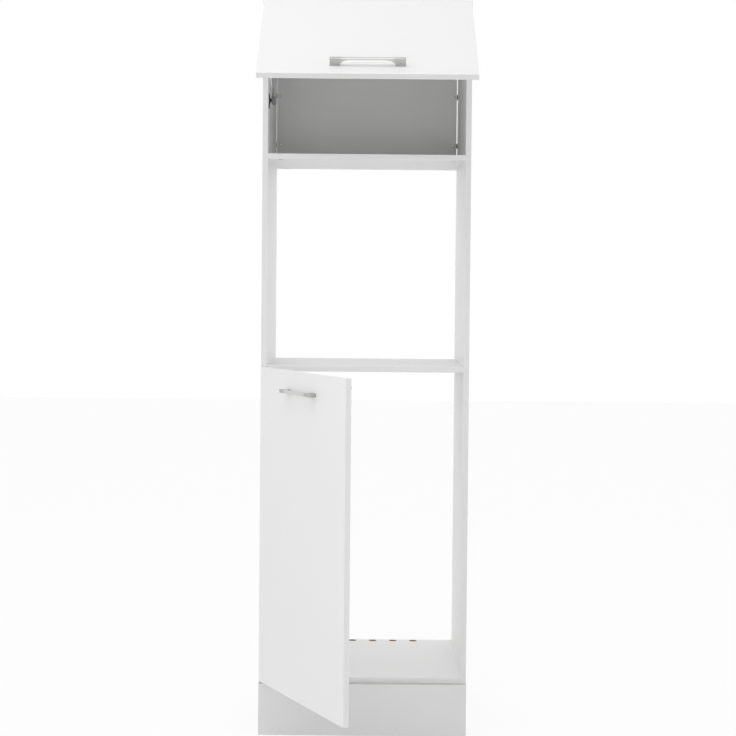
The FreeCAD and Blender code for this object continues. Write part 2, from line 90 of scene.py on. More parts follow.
class Shading:
    """A node tree that is filled by expressions."""

    def __init__(self, tree):
        self.tree = tree

    def node(self, kind, settings=None, inputs=None, output=0):
        """Adds a node, sets it up, fills its sockets, and returns one of its outputs."""
        made = self.tree.nodes.new(kind)
        for key, value in (settings or {}).items():
            if key == "stops":
                for index, (place, colour) in enumerate(value):
                    stops = made.color_ramp.elements
                    stop = stops[index] if index < 2 else stops.new(place)
                    stop.position, stop.color = place, colour
            else:
                setattr(made, key, value)
        for key, value in (inputs or {}).items():
            if isinstance(key, int):
                socket = made.inputs[key]
            else:
                socket = next(s for s in made.inputs if key in (s.identifier, s.name))
            if isinstance(value, Socket):
                self.tree.links.new(value.socket, socket)
            else:
                socket.default_value = value
        return Socket(self, made.outputs[output])

    def place(self, output="Object"):
        return self.node("ShaderNodeTexCoord", output=output)

    def split(self, vector):
        apart = self.node("ShaderNodeSeparateXYZ", inputs={0: vector}).socket.node
        return [Socket(self, output) for output in apart.outputs]

    def stretch(self, vector, scale):
        return self.node("ShaderNodeMapping", {}, {"Vector": vector, "Scale": scale})

    def noise(self, vector, scale, detail=2.0):
        inputs = {"Vector": vector, "Scale": scale, "Detail": detail}
        return self.node("ShaderNodeTexNoise", {}, inputs)

    def mix(self, factor, a, b):
        inputs = {"Factor_Float": factor, "A_Color": a, "B_Color": b}
        return self.node("ShaderNodeMix", {"data_type": "RGBA"}, inputs, output=2)


class Finish(Shading):
    """A material with one Principled shader; its constants are named with _ for a space."""

    def __init__(self, name, **constants):
        self.material = bpy.data.materials.new(name)
        self.material.use_nodes = True
        super().__init__(self.material.node_tree)
        self.shader = self.tree.nodes["Principled BSDF"]
        for socket_name, value in constants.items():
            self.shader.inputs[socket_name.replace("_", " ")].default_value = value

    def feed(self, socket_name, value):
        self.tree.links.new(value.socket, self.shader.inputs[socket_name])

    def bump(self, height, strength, distance):
        inputs = {"Strength": strength, "Distance": distance, "Height": height}
        self.feed("Normal", self.node("ShaderNodeBump", {}, inputs))


def moulded_plastic(name, colour, roughness):
    """Moulded plastic: a fine grain, and a colour and gloss that wander a little."""
    finish = Finish(name, Specular_IOR_Level=0.45)
    at = finish.place()
    grain = finish.noise(at, 1800.0)
    wander = finish.noise(at, 40.0)
    paler = tuple(min(1.0, channel * 1.35 + 0.01) for channel in colour[:3]) + (1.0,)
    finish.feed("Base Color", finish.mix(wander, colour, paler))
    finish.feed("Roughness", wander * 0.16 + (roughness - 0.08))
    finish.bump(grain, 0.25, 0.0001)
    return finish.material


def coat(material, *nodes):
    """Gives CAD pieces a finish."""
    for name in nodes:
        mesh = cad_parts[name].data
        mesh.materials.clear()
        mesh.materials.append(material)


black_plastic = moulded_plastic("black_plastic", PLASTIC_BLACK, roughness=0.52)
coat(black_plastic, "leg_sockets", "leg_tubes", "plinth_clips")


# ------------------------------------------------------------------ screws
# Pan-head chipboard screws of bright zinc-plated steel with a pressed cross recess. Here the
# ones that hold the leg sockets; the later sections make theirs in the same way. A screw's
# size is its head's radius and height in millimetres.
MM = 0.001
LEG_X = 235 * MM
LEG_Y = (68 * MM, 505 * MM)
SOCKET_UNDERSIDE_Z = 145 * MM
SOCKET_SCREW_OFFSET = 22 * MM
SOCKET_SCREW = (4.2, 2.0)

# Shares of the head's height and radius, then of the recess's own arm and reach.
HEAD_RIM = 0.35
RECESS_ARM = 0.16
RECESS_REACH = 0.62
RECESS_DEPTH = 0.55
RECESS_WALL = 0.35
RECESS_RUN_OUT = 0.4
# Each head of a row is turned on from the one before, in radians.
FIRST_TURN = 0.3
NEXT_TURN = 0.7

ZINC_GREY = (0.62, 0.63, 0.64, 1.0)
LONG_IN_Z = (1.0, 1.0, 0.2)


def basis(normal, turn=0.0):
    """Three unit vectors: two across the normal, turned about it, and the normal itself."""
    n = np.asarray(normal, float)
    n = n / np.linalg.norm(n)
    side = np.cross(n, (0, 0, 1) if abs(n[2]) < 0.9 else (0, 1, 0))
    side /= np.linalg.norm(side)
    other = np.cross(n, side)
    c, s = math.cos(turn), math.sin(turn)
    return np.array([side * c + other * s, other * c - side * s, n])


def surface(name, grids, finish, body, smooth=True):
    """Makes one piece from grids of points, each rows x columns x 3.

    Neighbouring points of a grid share a face, and the last column meets the first. Rows
    that shrink to a point are merged into a pole.
    """
    points, faces, start = [], [], 0
    for grid in grids:
        rows, columns = grid.shape[:2]
        left = np.arange(rows * columns).reshape(rows, columns) + start
        right = np.roll(left, -1, axis=1)
        quads = np.stack([left[:-1], right[:-1], right[1:], left[1:]], axis=-1)
        faces.append(quads.reshape(-1, 4))
        points.append(grid.reshape(-1, 3))
        start += rows * columns
    mesh = bpy.data.meshes.new(name)
    mesh.from_pydata(np.concatenate(points).tolist(), [], np.concatenate(faces).tolist())
    shell = bmesh.new()
    shell.from_mesh(mesh)
    bmesh.ops.remove_doubles(shell, verts=shell.verts, dist=1e-6)
    bmesh.ops.dissolve_degenerate(shell, edges=shell.edges, dist=1e-7)
    bmesh.ops.recalc_face_normals(shell, faces=shell.faces)
    shell.to_mesh(mesh)
    shell.free()
    mesh.polygons.foreach_set("use_smooth", [smooth] * len(mesh.polygons))
    mesh.materials.append(finish)
    piece = bpy.data.objects.new(name, mesh)
    bpy.context.collection.objects.link(piece)
    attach(piece, body)
    return piece


def turned(profile, centre, normal, columns, turn=0.0, dent=None):
    """Revolves (radius, height) points about the normal; dent lowers points by their place."""
    profile = np.asarray(profile, float)
    angle = np.linspace(0, 2 * math.pi, columns, endpoint=False)
    x = profile[:, :1] * np.cos(angle)
    y = profile[:, :1] * np.sin(angle)
    z = np.repeat(profile[:, 1:], columns, axis=1)
    if dent is not None:
        z = z - dent(x, y)
    return np.asarray(centre) + np.stack([x, y, z], axis=-1) @ basis(normal, turn)


def cross_recess(arm, reach, depth):
    """Depth of a cross recess: two crossing slots that taper in towards their ends."""

    def dent(x, y):
        across = np.minimum(np.abs(x), np.abs(y))
        along = np.maximum(np.abs(x), np.abs(y))
        wall = np.clip((arm - across) / (RECESS_WALL * arm), 0, 1)
        run_out = np.clip((reach - along) / (RECESS_RUN_OUT * reach), 0, 1)
        return depth * wall * run_out

    return dent


def pan_heads(name, seats, size, finish, body):
    """Screw heads at (point, outward normal) seats: a rim, and a quarter ellipse over it."""
    radius, height = (length * MM for length in size)
    swell = np.linspace(0, math.pi / 2, 12)
    rise = HEAD_RIM + (1 - HEAD_RIM) * np.sin(swell)
    dome = np.stack([radius * np.cos(swell), height * rise], axis=1)
    profile = np.concatenate([[(0, 0), (radius, 0)], dome])
    recess = cross_recess(radius * RECESS_ARM, radius * RECESS_REACH, height * RECESS_DEPTH)

    def dent(x, y):
        lowered = recess(x, y)
        lowered[:2] = 0
        return lowered

    grids = []
    for number, (point, normal) in enumerate(seats):
        turn = FIRST_TURN + NEXT_TURN * number
        grids.append(turned(profile, point, normal, columns=40, turn=turn, dent=dent))
    surface(name, grids, finish, body)


def plated_steel(name, colour, roughness, streak):
    """Plated steel: a bright metal with faint cloudy stains and very fine scratches."""
    finish = Finish(name, Metallic=1.0)
    at = finish.place()
    scratches = finish.noise(finish.stretch(at, streak), 900.0, 3.0)
    clouds = finish.noise(at, 60.0)
    darker = tuple(channel * 0.88 for channel in colour[:3]) + (1.0,)
    finish.feed("Base Color", finish.mix(clouds, darker, colour))
    finish.feed("Roughness", scratches * 0.14 + clouds * 0.10 + (roughness - 0.12))
    finish.bump(scratches, 0.05, 0.00002)
    return finish.material


zinc = plated_steel("zinc_plate", ZINC_GREY, roughness=0.34, streak=LONG_IN_Z)
socket_seats = [
    ((leg_x + step, leg_y + step, SOCKET_UNDERSIDE_Z), (0, 0, -1))
    for leg_y in LEG_Y
    for leg_x in (-LEG_X, LEG_X)
    for step in (-SOCKET_SCREW_OFFSET, SOCKET_SCREW_OFFSET)
]
pan_heads("socket_screws", socket_seats, SOCKET_SCREW, zinc, "carcass")


# ------------------------------------------------------------------ levelling feet
# Round black feet with a fluted grip for the fingers and low gussets on the flare. Each has a
# stem that screws up into its leg. A point is radius, height and depth of the ripple round
# the foot, in millimetres, from the middle of the sole to the top of the stem.
FOOT_SOLE = [(0.0, 0.0, 0.0), (26.8, 0.0, 0.0), (28.0, 0.5, 0.0)]
FOOT_SOLE += [(28.5, 1.6, 0.0), (28.5, 3.6, 0.0), (27.8, 4.6, 0.0)]
FOOT_FLARE = [(25.6, 5.4, 0.6), (23.6, 6.8, 1.5), (21.8, 8.2, 1.8)]
FOOT_FLARE += [(20.2, 9.8, 1.8), (18.8, 11.6, 1.2), (17.4, 13.2, 0.5)]
FOOT_GRIP = [(17.2, 14.2, 0.1), (17.2, 15.4, 0.8), (17.2, 20.0, 1.0)]
FOOT_GRIP += [(17.2, 25.4, 1.0), (17.2, 26.6, 0.4), (16.6, 27.8, 0.0), (15.6, 28.0, 0.0)]
FOOT_STEM = [(10.9, 28.0, 0.0), (10.9, 72.9, 0.0), (0.0, 72.9, 0.0)]
GUSSET_COUNT = 12
FLUTE_COUNT = 24


def fluted_foot(x, y):
    """Revolved profile whose radius ripples: less half the depth times 1 + cos(count x angle)."""
    lower, upper = FOOT_SOLE + FOOT_FLARE, FOOT_GRIP + FOOT_STEM
    radius, height, depth = np.array(lower + upper).T[:, :, None] * MM
    count = np.repeat((GUSSET_COUNT, FLUTE_COUNT), (len(lower), len(upper)))[:, None]
    angle = np.linspace(0, 2 * math.pi, 144, endpoint=False)
    radius = radius - depth * (0.5 + 0.5 * np.cos(count * angle))
    z = np.broadcast_to(height, radius.shape)
    return np.stack([x + radius * np.cos(angle), y + radius * np.sin(angle), z], axis=-1)


for row, leg_y in zip(("front", "rear"), LEG_Y):
    for side, leg_x in (("left", -LEG_X), ("right", LEG_X)):
        place = f"{row}_{side}"
        grid = fluted_foot(leg_x, leg_y)
        screwed = "screw_foot_" + place
        foot = surface("fluted_foot_" + place, [grid], black_plastic, screwed)
        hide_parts("foot_" + place)


# ------------------------------------------------------------------ carcass boards
# Sides, bottom, two fixed shelves and top of 16 mm chipboard, faced on both sides with white
# melamine paper that has a faint pearl grain. The front edges carry a 1 mm plastic band; the
# edges that nobody sees stay raw, and so do the walls of the six air holes.
MELAMINE = (0.895, 0.896, 0.892, 1.0)
MELAMINE_SHADE = (0.880, 0.882, 0.879, 1.0)
EDGE_BAND = (0.880, 0.881, 0.878, 1.0)
GLUE_LINE = (0.52, 0.51, 0.49, 1.0)
CHIP_DARK = (0.235, 0.150, 0.082, 1.0)
CHIP_TAN = (0.47, 0.34, 0.20, 1.0)
CHIP_PALE = (0.610, 0.470, 0.300, 1.0)
FLAT_FLAKE = 1.9
LONG_FLAKE = 0.55
BAND_THICKNESS = 1.0 * MM
GLUE_HALF_WIDTH = 0.12 * MM
FRONT_Y = float(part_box("side_panel_left")[0][1])


def chipboard(finish, at, thick_axis):
    """Colour of a sawn chipboard edge: flakes pressed flat across the board's thickness."""
    squeeze = [LONG_FLAKE] * 3
    squeeze[thick_axis] = FLAT_FLAKE
    cells = {"Vector": finish.stretch(at, squeeze), "Scale": 640.0}
    flakes = finish.node("ShaderNodeTexVoronoi", {}, cells, "Color")
    tone = finish.node("ShaderNodeSeparateColor", {}, {0: flakes})
    fibres = finish.noise(at, 1300.0, 3.0)
    stops = [(0.12, CHIP_DARK), (0.85, CHIP_PALE), (0.5, CHIP_TAN)]
    blend = tone * 0.45 + fibres * 0.55
    return finish.node("ShaderNodeValToRGB", {"stops": stops}, {0: blend}), fibres


def melamine_board(name, thick_axis):
    """White melamine on the two broad faces, a band in front, raw chipboard elsewhere."""
    finish = Finish(name, Specular_IOR_Level=0.42)
    at = finish.place()
    depth_y = finish.split(at)[1]
    facing = finish.split(finish.place("Normal"))[thick_axis]
    band_edge = FRONT_Y + BAND_THICKNESS
    broad = abs(facing) > 0.6
    front = depth_y < band_edge
    glue = (abs(depth_y - band_edge) < GLUE_HALF_WIDTH) * broad
    raw = (1.0 - broad) * (1.0 - front)

    pearl = finish.noise(at, 1500.0, 2.0)
    clouds = finish.noise(at, 2.5, 3.0)
    paper = finish.mix(clouds, MELAMINE_SHADE, MELAMINE)
    banded = finish.mix(front, paper, EDGE_BAND)
    glued = finish.mix(glue * 0.45, banded, GLUE_LINE)
    chips, fibres = chipboard(finish, at, thick_axis)
    finish.feed("Base Color", finish.mix(raw, glued, chips))
    finish.feed("Roughness", pearl * 0.10 + 0.40 + raw * 0.38 - front * 0.06)
    finish.bump(pearl * (1.0 - raw) * 0.35 + fibres * raw * 2.5, 0.35, 0.00012)
    return finish.material


lying_board = melamine_board("melamine_lying", thick_axis=2)
standing_board = melamine_board("melamine_standing", thick_axis=0)
coat(lying_board, "bottom_panel", "middle_fixed_shelf", "upper_fixed_shelf", "top_panel")
coat(standing_board, "side_panel_left", "side_panel_right")


# ------------------------------------------------------------------ cam connectors
# Die-cast zinc cams, 15 mm across, that draw the boards to the sides. Light grey push-in caps
# close their bores; under the upper shelf the front left cap is missing, so the cam above it
# shows, and a black ring lines that bore as painted shade.
CAP_GREY = (0.66, 0.665, 0.66, 1.0)
CAM_X = 250 * MM
CAM_INSET = 37 * MM
CAP_PROFILE = [(0, 0), (8.5, 0), (8.5, 0.5), (8.2, 0.95), (7.5, 1.2), (3.0, 1.25), (0, 1.25)]
CAM_RADIUS = 7.35
CAM_RECESS = 3.0
CAM_BEVEL = 0.4
CAM_TOP = 12.2
CAM_RINGS = (6.9, 5.6, 4.6, 3.8, 3.0, 2.2, 1.4, 0.7, 0)
CAM_SLOT_ARM = 1.1 * MM
CAM_SLOT_REACH = 4.6 * MM
CAM_SLOT_DEPTH = 1.6 * MM
CAM_TURN = 0.6
# Section of the black ring in the open bore: painted shade.
SHADE_RING_PROFILE = [(7.45, 0.05), (6.5, 0.05), (6.5, 2.95), (7.45, 2.95), (7.45, 0.05)]
cap_plastic = moulded_plastic("cap_plastic", CAP_GREY, roughness=0.42)


def cam_spots(board):
    """The four places where a lying board's cams are, as (x, y)."""
    low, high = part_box(board)
    rows = (float(low[1]) + CAM_INSET, float(high[1]) - CAM_INSET)
    return [(x, y) for x in (-CAM_X, CAM_X) for y in rows]


def caps(name, board, spots):
    """Flat push-in caps with a rounded rim, on a board's underside."""
    underside = float(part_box(board)[0][2])
    profile = np.array(CAP_PROFILE) * MM
    grids = [turned(profile, (x, y, underside), (0, 0, -1), columns=40) for x, y in spots]
    surface(name, grids, cap_plastic, "carcass")


open_spot, *capped_spots = cam_spots("upper_fixed_shelf")
caps("caps_upper_shelf", "upper_fixed_shelf", capped_spots)
for board in ("middle_fixed_shelf", "bottom_panel", "top_panel"):
    caps("caps_" + board, board, cam_spots(board))

shelf_underside = float(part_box("upper_fixed_shelf")[0][2])
cam_body = [(0, CAM_TOP), (CAM_RADIUS, CAM_TOP), (CAM_RADIUS, CAM_RECESS + CAM_BEVEL)]
cam_face = [(radius, CAM_RECESS) for radius in CAM_RINGS]
cam_profile = np.array(cam_body + cam_face) * MM
cam_slot = cross_recess(CAM_SLOT_ARM, CAM_SLOT_REACH, CAM_SLOT_DEPTH)
cams = []
for x, y in cam_spots("upper_fixed_shelf"):
    centre = (x, y, shelf_underside)
    cam = turned(cam_profile, centre, (0, 0, 1), columns=48, turn=CAM_TURN)
    slotted = cam[len(cam_body) :]
    slotted[..., 2] += cam_slot(slotted[..., 0] - x, slotted[..., 1] - y)
    cams.append(cam)
cam_piece = surface("cast_shelf_cams", cams, zinc, "carcass")
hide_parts("shelf_cams")

# The open bore's wall is lined black: painted shade.
shade_ring_profile = np.array(SHADE_RING_PROFILE) * MM
shade_ring = turned(shade_ring_profile, (*open_spot, shelf_underside), (0, 0, 1), columns=48)
surface("open_cam_shade_ring", [shade_ring], black_plastic, "carcass")


# ------------------------------------------------------------------ back of the compartment
# A thin white fibreboard that stops short of the sides. Bright pan-head screws through its face
# hold it to dark burnished steel angles, and more screws hold the angles to the side panels.
LACQUER = (0.865, 0.866, 0.86, 1.0)
LACQUER_SHADE = (0.84, 0.84, 0.835, 1.0)
FIBRE_DARK = (0.22, 0.14, 0.08, 1.0)
FIBRE_PALE = (0.42, 0.29, 0.17, 1.0)
BURNISHED_GREY = (0.13, 0.13, 0.135, 1.0)
BRIGHT_GREY = (0.74, 0.745, 0.75, 1.0)
PANEL_SCREW = (5.0, 2.6)
ANGLE_SCREW = (3.6, 1.6)
PANEL_SCREW_X = 271 * MM
ANGLE_FACE_X = 282.5 * MM
ANGLE_SCREW_BEHIND = 12 * MM
COMPARTMENT_FLOOR_Z = 1677 * MM
FIXING_Z = [COMPARTMENT_FLOOR_Z + rise * MM for rise in (60.0, 212.5, 365.0)]
back_low, back_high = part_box("upper_back_panel")


def fibreboard():
    """White lacquered fibreboard with brown sawn edges."""
    finish = Finish("fibreboard", Specular_IOR_Level=0.35)
    at = finish.place()
    facing = finish.split(finish.place("Normal"))[1]
    edge = abs(facing) < 0.6
    fibres = finish.noise(at, 1600.0, 4.0)
    clouds = finish.noise(at, 5.0)
    white = finish.mix(clouds, LACQUER_SHADE, LACQUER)
    brown = finish.mix(fibres, FIBRE_DARK, FIBRE_PALE)
    finish.feed("Base Color", finish.mix(edge, white, brown))
    finish.feed("Roughness", fibres * 0.12 + 0.46 + edge * 0.3)
    finish.bump(fibres, 0.25, 0.00008)
    return finish.material


coat(fibreboard(), "upper_back_panel")
burnished = plated_steel("burnished_steel", BURNISHED_GREY, roughness=0.42, streak=LONG_IN_Z)
coat(burnished, "back_panel_brackets")
bright_zinc = plated_steel("bright_zinc", BRIGHT_GREY, roughness=0.24, streak=LONG_IN_Z)

panel_seats, angle_seats = [], []
for side in (-1, 1):
    for z in FIXING_Z:
        panel_seats.append(((side * PANEL_SCREW_X, float(back_low[1]), z), (0, -1, 0)))
        behind = float(back_high[1]) + ANGLE_SCREW_BEHIND
        angle_seats.append(((side * ANGLE_FACE_X, behind, z), (-side, 0, 0)))
pan_heads("back_panel_screws", panel_seats, PANEL_SCREW, bright_zinc, "carcass")
pan_heads("angle_screws", angle_seats, ANGLE_SCREW, zinc, "carcass")


# ------------------------------------------------------------------ plinth board
# One board across the foot of the cabinet, flush with the fronts and faced with the same white
# laminate. A grey strip on its top edge, with a lip behind it, fills the joint under the bottom
# panel and shows there as a darker line.
FRONT_WHITE = (0.890, 0.891, 0.889, 1.0)
FRONT_SHADE = (0.876, 0.878, 0.876, 1.0)
# The strip's greys, which make the joint line darker.
JOINT_STRIP_DARK = (0.62, 0.62, 0.615, 1.0)
JOINT_STRIP_PALE = (0.72, 0.72, 0.71, 1.0)
JOINT_STRIP_HALF_LENGTH = 299 * MM
# The strip's section as (y, z) in millimetres from the plinth's top back edge.
JOINT_STRIP_SECTION = [(-14.0, 0.05), (-13.7, 0.85), (5.8, 0.9), (6.2, -2.6), (5.6, -3.2)]
JOINT_STRIP_SECTION += [(0.7, -3.2), (0.1, -2.6), (0.1, 0.02)]
plinth_top_back = [float(v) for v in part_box("plinth_board")[1][1:]]


def laminated_front(name):
    """Smooth white laminate: an almost even colour and a very shallow orange-peel."""
    finish = Finish(name, Specular_IOR_Level=0.45)
    at = finish.place()
    peel = finish.noise(at, 260.0, 2.0)
    fine = finish.noise(at, 2200.0, 1.0)
    clouds = finish.noise(at, 1.8, 2.0)
    finish.feed("Base Color", finish.mix(clouds, FRONT_SHADE, FRONT_WHITE))
    finish.feed("Roughness", fine * 0.06 + 0.34)
    finish.bump(peel * 0.7 + fine * 0.3, 0.10, 0.00012)
    return finish.material


def joint_strip_finish():
    """A grey strip with small pits and a little dust; its grey makes the joint line darker."""
    finish = Finish("grey_joint_strip", Roughness=0.9, Specular_IOR_Level=0.2)
    cells = finish.noise(finish.place(), 900.0, 2.0)
    finish.feed("Base Color", finish.mix(cells, JOINT_STRIP_DARK, JOINT_STRIP_PALE))
    finish.bump(cells, 0.4, 0.0002)
    return finish.material


def strip_along_x(section, half_length, stations):
    """Carries a closed (y, z) section along x; both ends shrink to the section's middle."""
    x = np.linspace(-half_length, half_length, stations)
    x = np.pad(x, 1, mode="edge")[:, None, None]
    scale = np.pad(np.ones(stations), 1)[:, None, None]
    middle = section.mean(axis=0)
    loops = middle + (section - middle) * scale
    return np.concatenate([np.broadcast_to(x, loops[..., :1].shape), loops], axis=-1)


front_laminate = laminated_front("front_laminate")
coat(front_laminate, "plinth_board", "door_panel", "flap_panel")
joint_strip_section = np.array(JOINT_STRIP_SECTION) * MM + plinth_top_back
joint_strip_grid = strip_along_x(joint_strip_section, JOINT_STRIP_HALF_LENGTH, stations=9)
surface("plinth_joint_grey_strip", [joint_strip_grid], joint_strip_finish(), "carcass", smooth=False)


# ------------------------------------------------------------------ concealed hinges
# Pressed steel, nickel plated: a cup let into the front, a cranked arm and a winged plate on
# the carcass. Each cup has two screws, each plate two, and each arm two adjusting screws.
# A screw's place is across, inward and along the hinge from its pivot, in millimetres.
NICKEL_GREY = (0.70, 0.69, 0.665, 1.0)
LONG_IN_Y = (1.0, 0.15, 1.0)
DOOR_PIVOT = np.array((-290.5, -0.5, 0.0)) * MM
FLAP_PIVOT = np.array((0.0, -0.5, 2105.5)) * MM
DOOR_HINGE_Z = (255.0, 963.0)
FLAP_HINGE_X = (-200.0, 200.0)
DOOR_OPEN = 65.0
FLAP_OPEN = 56.0
CUP_SCREW = (3.6, 1.6)
PLATE_SCREW = (4.0, 1.8)
ARM_SCREW = (3.8, 1.4)
CUP_SCREW_AT = [(20.0, 9.5, along) for along in (-24.0, 24.0)]
PLATE_SCREW_AT = [(8.0, 48.0, along) for along in (-16.0, 16.0)]
ARM_SCREW_AT = [(19.0, inward, 0.0) for inward in (35.0, 60.0)]
ACROSS = (1, 0, 0)
INWARD = (0, 1, 0)

nickel = plated_steel("nickel_plate", NICKEL_GREY, roughness=0.28, streak=LONG_IN_Y)
coat(nickel, "door_hinge_cups", "door_hinge_arms", "door_hinge_plates")
coat(nickel, "flap_hinge_cups", "flap_hinge_arms", "flap_hinge_plates")

# Each front's pivot, its hinges' three axes as columns, and its two hinges' places.
HINGES = {
    "door": (DOOR_PIVOT, np.eye(3), [(0, 0, z * MM) for z in DOOR_HINGE_Z]),
    "flap": (
        FLAP_PIVOT,
        np.array([(0, 0, 1), (0, 1, 0), (-1, 0, 0)]),
        [(x * MM, 0, 0) for x in FLAP_HINGE_X],
    ),
}


def turn_about(points, pivot, axis, degrees):
    """Rotates points about an axis through the pivot, by the right-hand rule."""
    turn = Matrix.Rotation(math.radians(degrees), 3, axis)
    return (np.asarray(points) - pivot) @ np.array(turn).T + pivot


def door_rest(points):
    """Closed door to open door."""
    return turn_about(points, DOOR_PIVOT, "Z", -DOOR_OPEN)


def flap_rest(points):
    """Closed flap to raised flap."""
    return turn_about(points, FLAP_PIVOT, "X", -FLAP_OPEN)


def hinge_seats(front, spots, facing):
    """Seats of one kind of screw at both hinges: pivot + axes x spot + the hinge's place."""
    pivot, axes, places = HINGES[front]
    return [
        (pivot + axes @ np.array(spot) * MM + place, axes @ np.array(facing, float))
        for spot in spots
        for place in places
    ]


def carried(seats, rest):
    """Seats carried from the closed front to the open one."""
    moved = []
    for point, normal in seats:
        tip = rest(np.array([point, np.asarray(point) + normal]))
        moved.append((tip[0], tip[1] - tip[0]))
    return moved


for front, rest in (("door", door_rest), ("flap", flap_rest)):
    name = front + "_hinge_"
    cup_seats = carried(hinge_seats(front, CUP_SCREW_AT, INWARD), rest)
    pan_heads(name + "cup_screws", cup_seats, CUP_SCREW, zinc, front)
    plate_seats = hinge_seats(front, PLATE_SCREW_AT, ACROSS)
    pan_heads(name + "plate_screws", plate_seats, PLATE_SCREW, zinc, "carcass")
    arm_seats = hinge_seats(front, ARM_SCREW_AT, ACROSS)
    pan_heads(name + "arm_screws", arm_seats, ARM_SCREW, nickel, "carcass")


# ------------------------------------------------------------------ bridge handles
# Flat bridge handles, cast in zinc and finished satin silver. The bar spreads through
# elliptical arches into two solid feet, and each foot takes a screw through the front. The
# shape is worked out in millimetres on the closed front.
HANDLE_END = 102.0
HANDLE_FOOT_INNER = 75.0
HANDLE_FLAT = 43.0
HANDLE_RISE = 17.5
HANDLE_HEIGHT = 22.0
HANDLE_HALF_WIDTH = 5.0
HANDLE_CORNER = 1.1
HANDLE_END_ROUND = 0.8
# Towards each end: what share of the section is left, and how far out it stands.
HANDLE_END_RIMS = ((0.955, 0.55), (0.90, 0.8), (0.0, 0.8))
# Keeps the foot's first section clear of the arch's last.
STATION_GAP = 0.01
DOOR_HANDLE_Z = 1007.0
FLAP_HANDLE_Z = 1714.0
FRONT_FACE_Y = -8.0
FRONT_BACK_Y = 8.0
HANDLE_SCREW = (4.4, 2.2)
HANDLE_SCREW_X = 88.5
BAR_DARK = (0.57, 0.57, 0.565, 1.0)
BAR_PALE = (0.71, 0.71, 0.70, 1.0)
# The feet's colours: darker than the bar's, as painted shade.
FOOT_SHADED_DARK = (0.43, 0.43, 0.425, 1.0)
FOOT_SHADED_PALE = (0.55, 0.55, 0.54, 1.0)
DULL_SHADED_FROM = 62 * MM
DULL_SHADED_OVER = 16 * MM


def satin_silver():
    """Brushed, lacquered metal: streaks run along the bar; the cast feet are rougher, and painted
    darker as painted shade.
    """
    finish = Finish("satin_silver", Metallic=1.0)
    along = finish.node("ShaderNodeUVMap", {"uv_map": "along"})
    from_middle = abs(finish.split(along)[0])
    clamped = {"operation": "MULTIPLY", "use_clamp": True}
    # Rises to 1 towards each end: the feet get more roughness, and painted shade in their colour.
    foot = finish.node("ShaderNodeMath", clamped, {0: from_middle - DULL_SHADED_FROM, 1: 1 / DULL_SHADED_OVER})
    streaks = finish.noise(finish.stretch(along, (6.0, 160.0, 1.0)), 8.0, 4.0)
    soft = finish.noise(finish.place(), 30.0)
    bar = finish.mix(streaks, BAR_DARK, BAR_PALE)
    shaded_feet = finish.mix(streaks, FOOT_SHADED_DARK, FOOT_SHADED_PALE)
    finish.feed("Base Color", finish.mix(foot, bar, shaded_feet))
    finish.feed("Roughness", streaks * 0.14 + soft * 0.06 + foot * 0.08 + 0.24)
    finish.bump(streaks, 0.10, 0.00005)
    return finish.material


def handle_section(x, low):
    """Closed loop across the bar at x: a rectangle with round corners, from low to the top."""
    corner = HANDLE_CORNER
    half, top, bottom = HANDLE_HALF_WIDTH - corner, HANDLE_HEIGHT - corner, low + corner
    quarter = np.linspace(0, math.pi / 2, 5)
    loop = []
    for step, centre in enumerate(((half, top), (-half, top), (-half, bottom), (half, bottom))):
        angle = quarter + step * math.pi / 2
        loop.append(centre + corner * np.stack([np.cos(angle), np.sin(angle)], axis=1))
    loop = np.concatenate(loop)
    return np.stack([np.full(len(loop), x), FRONT_FACE_Y - loop[:, 1], loop[:, 0]], axis=1)


def handle_points(z):
    """Sections carried along the bar; the underside follows the arch from flat to foot."""
    arch = np.linspace(0, math.pi / 2, 15)
    reach = HANDLE_FOOT_INNER - HANDLE_FLAT
    full_end = HANDLE_END - HANDLE_END_ROUND
    half = [(x, HANDLE_RISE) for x in np.linspace(0, HANDLE_FLAT, 9)[:-1]]
    half += [(HANDLE_FLAT + reach * math.sin(a), HANDLE_RISE * math.cos(a)) for a in arch]
    half += [(x, 0.0) for x in np.linspace(HANDLE_FOOT_INNER + STATION_GAP, full_end, 7)]
    stations = [(-x, low) for x, low in reversed(half[1:])] + half
    rows = [handle_section(x, low) for x, low in stations]
    for end, last in ((-1, rows[0]), (1, rows[-1])):
        middle = last.mean(axis=0)
        rims = []
        for share, step in HANDLE_END_RIMS:
            rim = middle + (last - middle) * share
            rim[:, 0] = end * (full_end + step)
            rims.append(rim)
        rows = rims[::-1] + rows if end < 0 else rows + rims
    return (np.array(rows) + (0.0, 0.0, z)) * MM


def map_along(piece, bar_axis):
    """Writes a UV map in metres: how far each corner is along the handle from its middle,
    and how far it is from the handle's line."""
    mesh = piece.data
    layer = mesh.uv_layers.new(name="along")
    points = np.empty(len(mesh.vertices) * 3)
    mesh.vertices.foreach_get("co", points)
    points = points.reshape(-1, 3)
    corners = np.empty(len(mesh.loops), int)
    mesh.loops.foreach_get("vertex_index", corners)
    along = points @ np.asarray(bar_axis)
    across = np.linalg.norm(points - np.outer(along, bar_axis), axis=1)
    along -= (along.min() + along.max()) / 2
    layer.data.foreach_set("uv", np.stack([along[corners], across[corners]], axis=1).ravel())


silver = satin_silver()
door_axis = (math.cos(math.radians(DOOR_OPEN)), -math.sin(math.radians(DOOR_OPEN)), 0.0)
door_grid = door_rest(handle_points(DOOR_HANDLE_Z))
door_bar = surface("door_handle_bar", [door_grid], silver, "door")
map_along(door_bar, door_axis)
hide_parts("door_handle")
flap_grid = flap_rest(handle_points(FLAP_HANDLE_Z))
flap_bar = surface("flap_handle_bar", [flap_grid], silver, "flap")
map_along(flap_bar, (1.0, 0.0, 0.0))
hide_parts("flap_handle")

